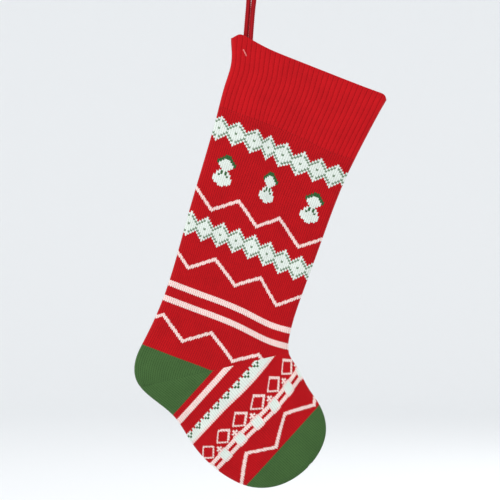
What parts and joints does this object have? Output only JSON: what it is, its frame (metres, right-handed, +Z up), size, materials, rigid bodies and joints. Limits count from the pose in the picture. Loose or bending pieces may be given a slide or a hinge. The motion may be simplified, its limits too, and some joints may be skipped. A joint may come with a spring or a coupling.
{
  "type": "hanging stocking",
  "caption": "Flat empty knitted Christmas stocking with a ribbed cuff, white and green figures, green heel and toe, hung by a cord loop at one corner.",
  "frame": {"origin": "middle of the hook or nail that the hanging loop goes round", "axes": "+Z up, +X towards the toe and the instep side, the front face towards -Y"},
  "size_m": [0.2727, 0.012, 0.5644],
  "materials": {
    "red_yarn": "soft matte acrylic yarn, knitted",
    "white_yarn": "soft matte acrylic yarn, knitted",
    "green_yarn": "soft matte acrylic yarn, knitted",
    "loop_cord": "fine knitted cord, matte",
    "tack_thread": "sewing thread"
  },
  "bodies": {
    "loop": {"hanging_loop": "loop_cord"},
    "leg": {"cuff_front": "red_yarn", "cuff_back": "red_yarn", "leg_front": "red_yarn", "leg_back": "red_yarn", "heel_upper_front": "green_yarn", "heel_upper_back": "green_yarn", "heel_side_seam": "red_yarn", "instep_side_seam": "red_yarn", "diamond_chain_upper": "white_yarn", "snowman_bodies": "white_yarn", "snowman_hats": "green_yarn", "zigzag_upper": "white_yarn", "diamond_chain_lower": "white_yarn", "zigzag_middle": "white_yarn", "stripe_upper": "white_yarn", "stripe_lower": "white_yarn", "zigzag_lower": "white_yarn", "loop_tack": "tack_thread"},
    "foot": {"heel_lower_front": "green_yarn", "heel_lower_back": "green_yarn", "foot_front": "red_yarn", "foot_back": "red_yarn", "toe_front": "green_yarn", "toe_back": "green_yarn", "sole_seam": "red_yarn", "foot_top_seam": "red_yarn", "toe_seam": "green_yarn", "foot_stripe": "white_yarn", "tree_band": "white_yarn", "tree_marks": "green_yarn", "open_diamonds": "white_yarn", "dash_band": "white_yarn", "zigzag_foot": "white_yarn"}
  },
  "joints": [
    {"name": "stocking_swing", "type": "hinge", "parent": "loop", "child": "leg", "pos_m": [-0.0059, 0, -0.075], "axis": [0, 1, 0], "range_deg": [-30, 30]},
    {"name": "foot_fold", "type": "hinge", "parent": "leg", "child": "foot", "pos_m": [0.04009, 0, -0.4098], "axis": [0.974, 0, 0.2266], "range_deg": [-35, 35]}
  ]
}
